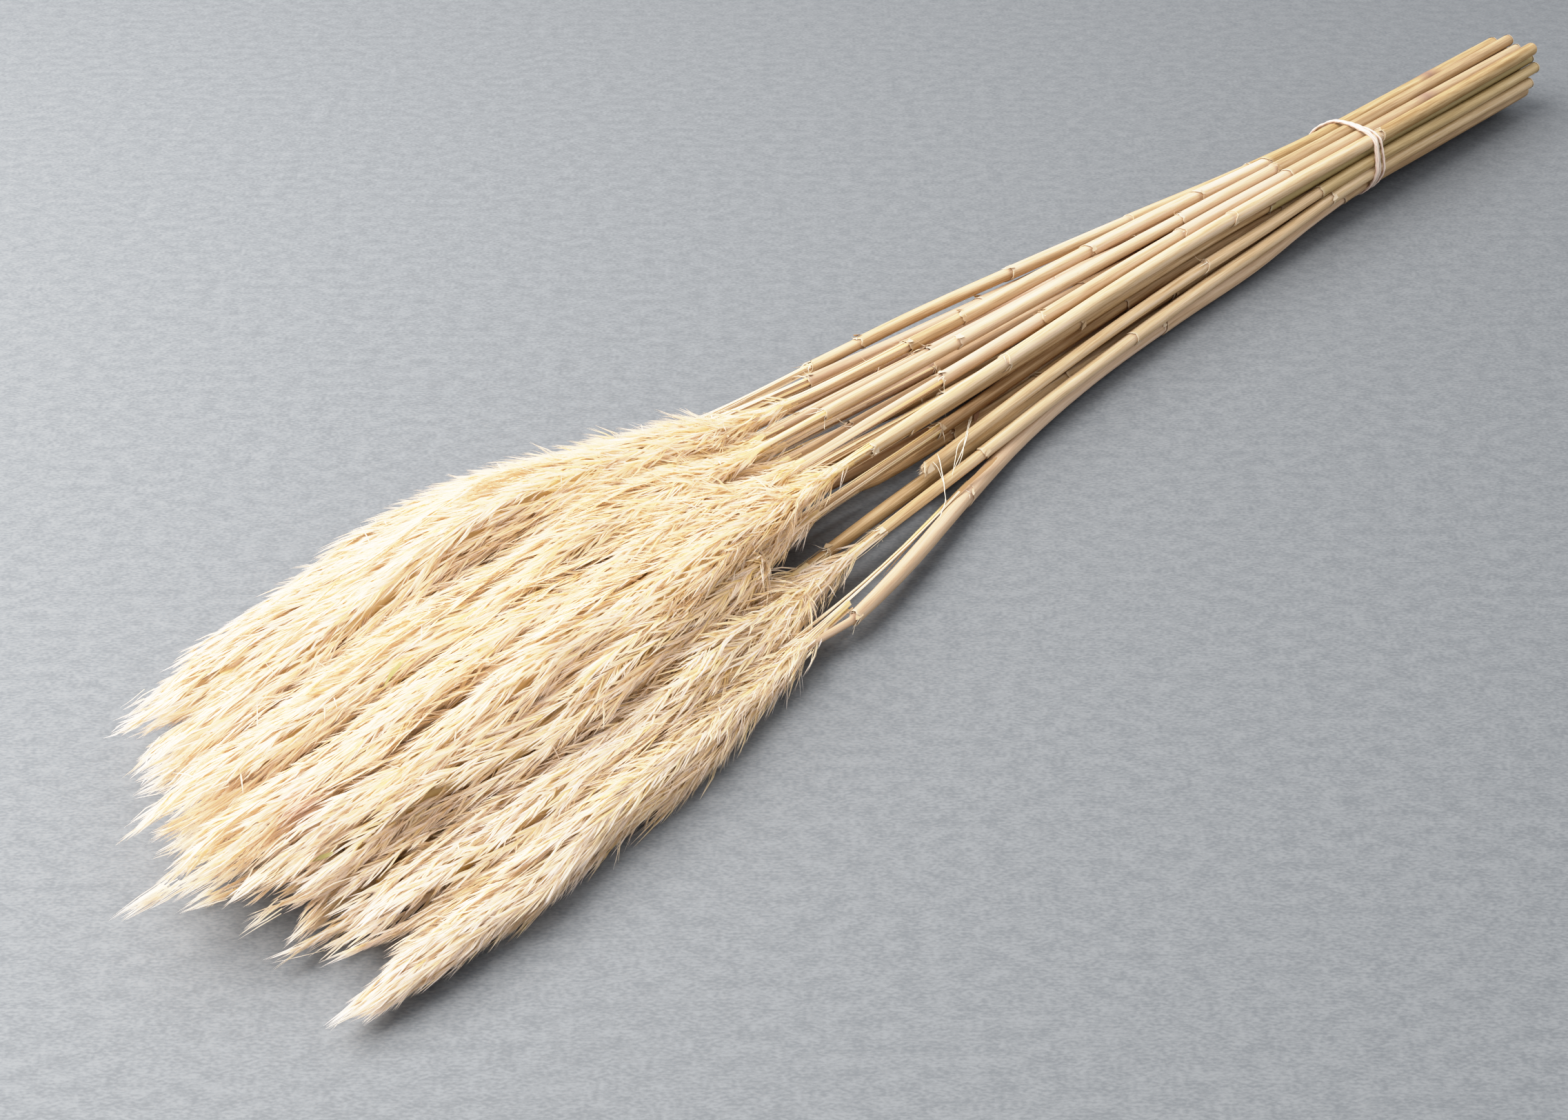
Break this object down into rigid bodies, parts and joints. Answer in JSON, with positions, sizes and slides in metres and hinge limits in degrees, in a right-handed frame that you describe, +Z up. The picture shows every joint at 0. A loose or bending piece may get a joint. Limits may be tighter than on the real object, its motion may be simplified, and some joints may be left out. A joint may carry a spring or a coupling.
{
  "type": "bundle of dried plume reed",
  "caption": "Bundle of dried plume reed: straw stems in papery sheaths, gathered by an elastic band near the cut ends, opening into a fan of feathery cream plumes, lying flat.",
  "frame": {"origin": "on the surface that the bundle lies on, under the middle of its length and width", "axes": "+X along the stems from the plume tips to the cut ends, +Y across the bundle, +Z up from the surface"},
  "size_m": [0.699, 0.1429, 0.0518],
  "materials": {
    "straw": "dry straw-coloured reed culms in papery leaf sheaths, satin",
    "plume_cream": "silky cream hairs and dry ochre spikelets, soft sheen",
    "elastic": "pale elastic cord, matt"
  },
  "bodies": {
    "root": {"plume_01": "plume_cream", "plume_02": "plume_cream", "plume_03": "plume_cream", "plume_05": "plume_cream", "plume_06": "plume_cream", "plume_07": "plume_cream", "plume_08": "plume_cream", "plume_09": "plume_cream", "plume_10": "plume_cream", "plume_11": "plume_cream", "plume_12": "plume_cream", "plume_13": "plume_cream", "plume_14": "plume_cream", "plume_15": "plume_cream", "plume_16": "plume_cream", "plume_17": "plume_cream", "plume_18": "plume_cream", "plume_19": "plume_cream", "plume_20": "plume_cream", "plume_21": "plume_cream", "plume_22": "plume_cream", "plume_23": "plume_cream", "plume_24": "plume_cream", "rubber_band": "elastic", "stem_01": "straw", "stem_02": "straw", "stem_03": "straw", "stem_04": "straw", "stem_05": "straw", "stem_06": "straw", "stem_07": "straw", "stem_08": "straw", "stem_09": "straw", "stem_10": "straw", "stem_11": "straw", "stem_12": "straw", "stem_13": "straw", "stem_14": "straw", "stem_15": "straw", "stem_16": "straw", "stem_17": "straw", "stem_18": "straw", "stem_19": "straw", "stem_20": "straw", "stem_21": "straw", "stem_22": "straw", "stem_23": "straw", "stem_24": "straw"}
  },
  "joints": []
}
